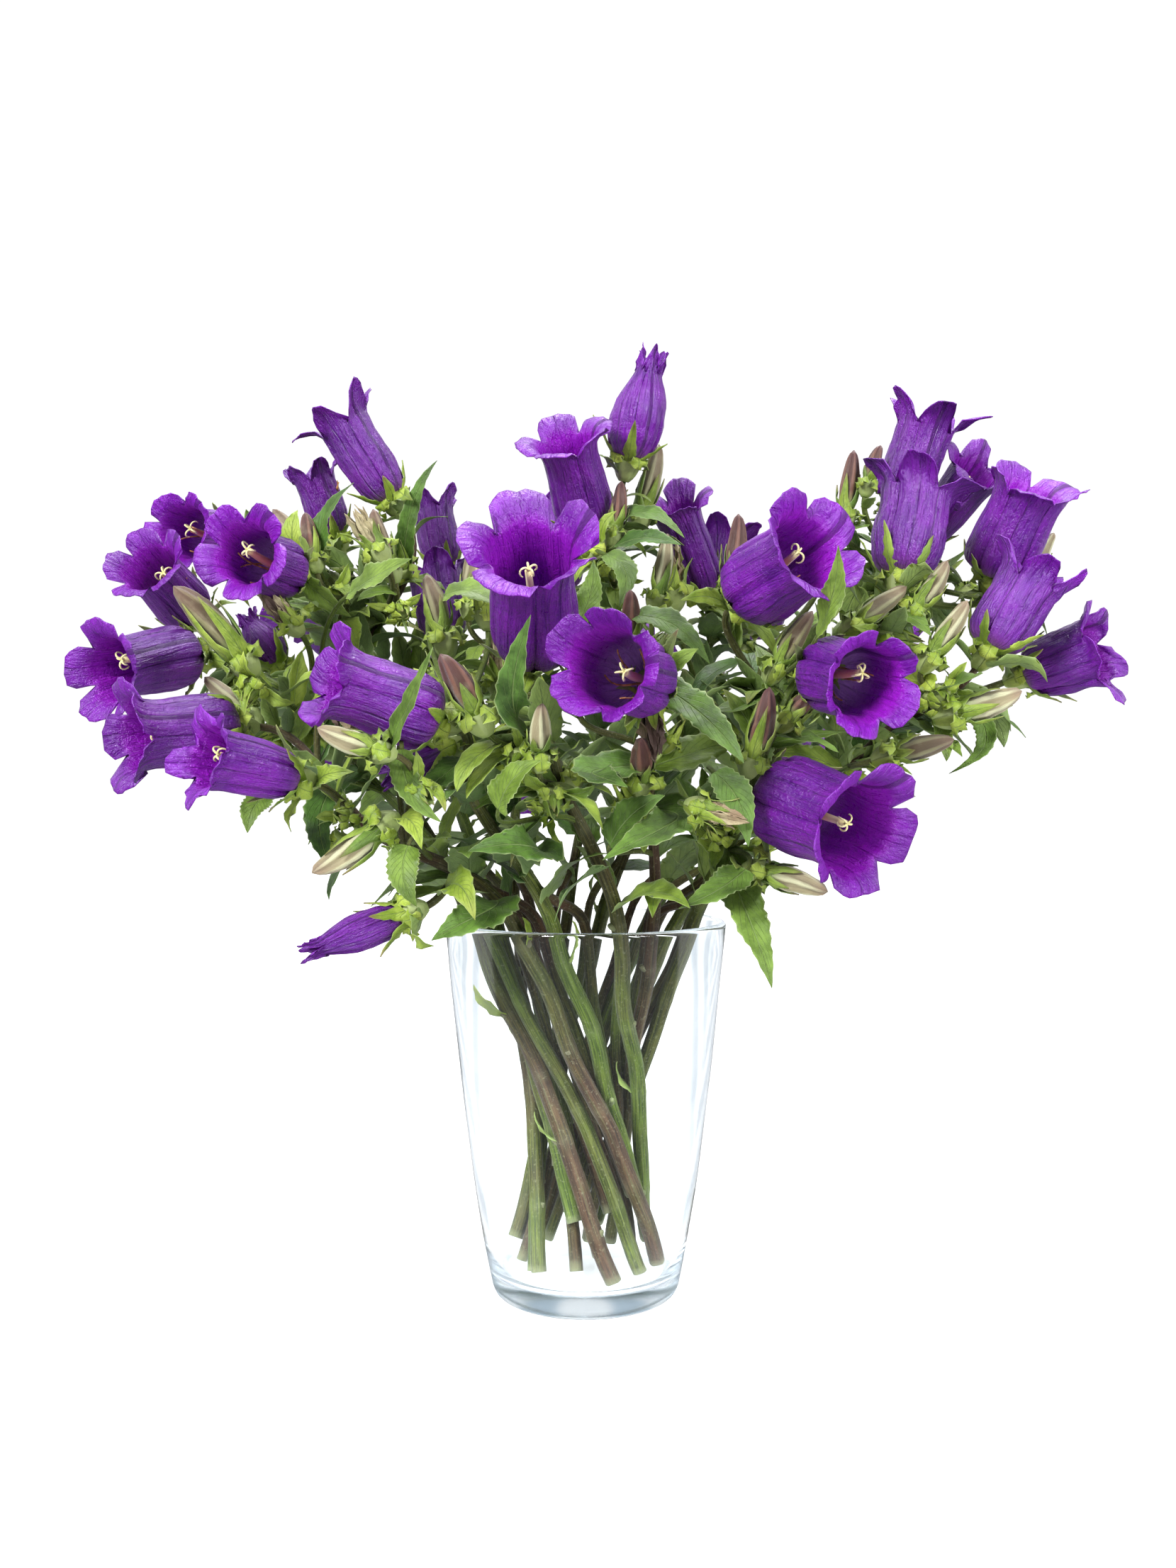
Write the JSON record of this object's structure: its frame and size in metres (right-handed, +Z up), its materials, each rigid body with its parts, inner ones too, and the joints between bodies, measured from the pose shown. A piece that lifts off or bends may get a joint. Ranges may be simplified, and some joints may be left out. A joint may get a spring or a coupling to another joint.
{
  "type": "bellflower bouquet in vase",
  "caption": "Loose bouquet of violet bell-shaped flowers with buds and toothed leaves, standing in a clear tapered glass vase.",
  "frame": {"origin": "centre of the vase's foot, on the surface it stands on", "axes": "+Z up along the vase's axis, +X to the viewer's right, -Y towards the viewer"},
  "size_m": [0.4255, 0.2915, 0.3845],
  "materials": {
    "glass": "clear, smooth",
    "stem": "green to maroon-brown, ridged and hairy",
    "petal": "deep violet with a satin sheen",
    "leaf": "mid green, matt, lighter midrib",
    "bud": "olive to maroon-brown, ribbed",
    "style": "pale yellow"
  },
  "bodies": {
    "root": {"vase": "glass", "stem_01": "stem", "stem_02": "stem", "stem_03": "stem", "stem_04": "stem", "stem_05": "stem", "stem_06": "stem", "stem_07": "stem", "stem_08": "stem", "stem_09": "stem", "stem_10": "stem", "stem_11": "stem", "stem_12": "stem", "stem_13": "stem", "stem_14": "stem", "bell_01": "petal", "bell_02": "petal", "bell_03": "petal", "bell_04": "petal", "bell_05": "petal", "bell_06": "petal", "bell_07": "petal", "bell_08": "petal", "bell_09": "petal", "bell_10": "petal", "bell_11": "petal", "bell_12": "petal", "bell_13": "petal", "bell_14": "petal", "bell_15": "petal", "bell_16": "petal", "bell_17": "petal", "bell_18": "petal", "bell_19": "petal", "bell_20": "petal", "bell_21": "petal", "bell_22": "petal", "bell_23": "petal", "bell_24": "petal", "bell_25": "petal", "bell_26": "petal", "bell_27": "petal", "bell_28": "petal", "bell_29": "petal", "bell_30": "petal", "bell_31": "petal", "bell_32": "petal", "bell_33": "petal", "bell_34": "petal", "bell_35": "petal", "bell_36": "petal", "bell_37": "petal", "bell_38": "petal", "bell_39": "petal"}
  },
  "joints": []
}
